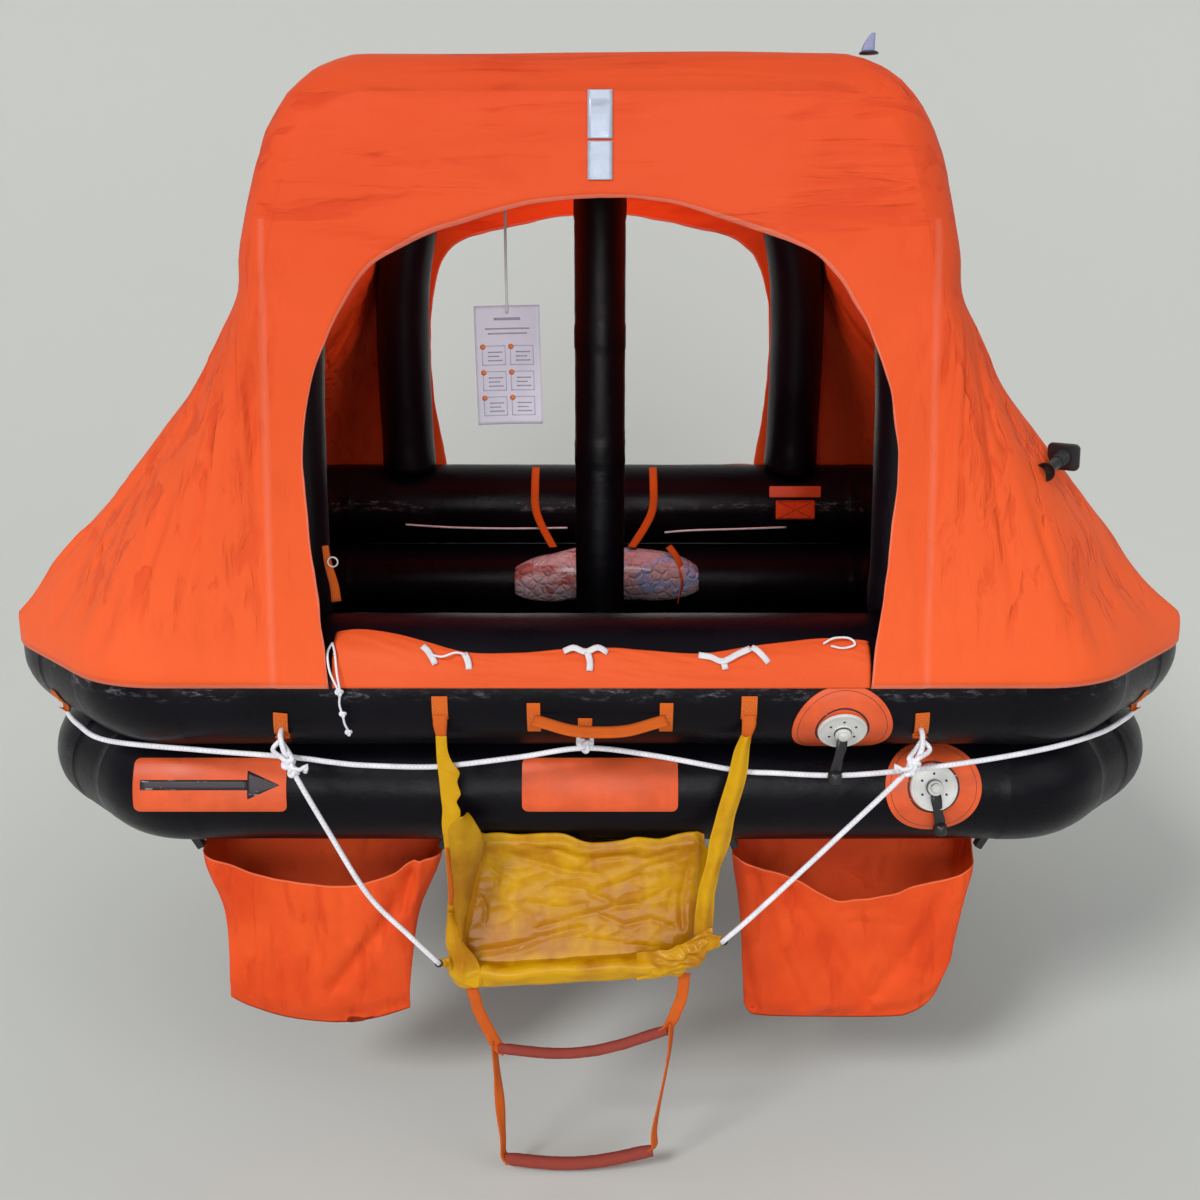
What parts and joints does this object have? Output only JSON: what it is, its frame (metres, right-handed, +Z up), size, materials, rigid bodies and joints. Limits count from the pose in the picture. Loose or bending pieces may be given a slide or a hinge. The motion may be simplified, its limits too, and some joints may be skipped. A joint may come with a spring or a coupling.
{
  "type": "self-righting life raft",
  "caption": "Inflatable life raft with two stacked eight-sided tubes, an arched fabric canopy, ballast pockets, a boarding ramp and a webbing ladder.",
  "frame": {"origin": "on the waterline at the centre of the raft's plan", "axes": "+X to the right seen from the ramp's side, +Y away from that side, +Z up"},
  "size_m": [2.389, 1.9872, 2.1781],
  "materials": {
    "black_fabric": "satin coated fabric",
    "orange_fabric": "coated canopy fabric",
    "pocket_fabric": "coated pocket fabric",
    "floor_fabric": "coated floor fabric",
    "yellow_sheet": "glossy coated sheet",
    "webbing": "woven webbing",
    "rung_tube": "sleeved rung",
    "label_orange": "bonded patch",
    "valve_plastic": "moulded",
    "rope": "braided",
    "card": "laminated card",
    "clear_bag": "clear bag with its contents",
    "black_plastic": "moulded",
    "lamp_lens": "moulded lens",
    "cylinder_paint": "painted"
  },
  "bodies": {
    "raft": {"upper_tube": "black_fabric", "lower_tube": "black_fabric", "front_arch": "black_fabric", "rear_arch": "black_fabric", "centre_pillar": "black_fabric", "canopy_roof": "orange_fabric", "canopy_front": "orange_fabric", "canopy_rear": "orange_fabric", "canopy_left": "orange_fabric", "canopy_right": "orange_fabric", "front_door_flap": "orange_fabric", "rear_door_flap": "orange_fabric", "pocket_front_left": "pocket_fabric", "pocket_front_right": "pocket_fabric", "pocket_rear_left": "pocket_fabric", "pocket_rear_right": "pocket_fabric", "floor": "floor_fabric", "ramp_anchor_left": "webbing", "ramp_anchor_right": "webbing", "carry_handle_front": "webbing", "carry_handle_rear": "webbing", "bag_strap_left": "webbing", "bag_strap_right": "webbing", "valve_upper_patch": "label_orange", "valve_lower_patch": "label_orange", "arrow_plate": "label_orange", "number_plate": "label_orange", "knife_pocket": "label_orange", "valve_upper_body": "valve_plastic", "valve_lower_body": "valve_plastic", "lifeline_front": "rope", "lifeline_rear": "rope", "bridle_left": "rope", "bridle_right": "rope", "equipment_bag": "clear_bag", "rain_spout": "black_plastic", "exterior_light": "lamp_lens", "gas_cylinder": "cylinder_paint"},
    "ramp": {"ramp_panel": "yellow_sheet", "ramp_roll": "yellow_sheet", "ramp_strap_left": "yellow_sheet", "ramp_strap_right": "yellow_sheet", "ramp_loop_left": "webbing", "ramp_loop_right": "webbing"},
    "ladder": {"ladder_web_left": "webbing", "ladder_web_right": "webbing", "rung_upper": "rung_tube", "rung_lower": "rung_tube"},
    "card": {"instruction_card": "card", "card_tape": "rope"}
  },
  "joints": [
    {"name": "ramp_swing", "type": "hinge", "parent": "raft", "child": "ramp", "pos_m": [-0.03, -0.9602, 0.2965], "axis": [-1, 0, 0], "range_deg": [0, 50]},
    {"name": "ladder_swing", "type": "hinge", "parent": "ramp", "child": "ladder", "pos_m": [-0.03, -0.945, -0.2664], "axis": [-1, 0, 0], "range_deg": [-60, 60]},
    {"name": "card_swing", "type": "hinge", "parent": "raft", "child": "card", "pos_m": [-0.185, -0.55, 1.4376], "axis": [-1, 0, 0], "range_deg": [-15, 15]}
  ]
}
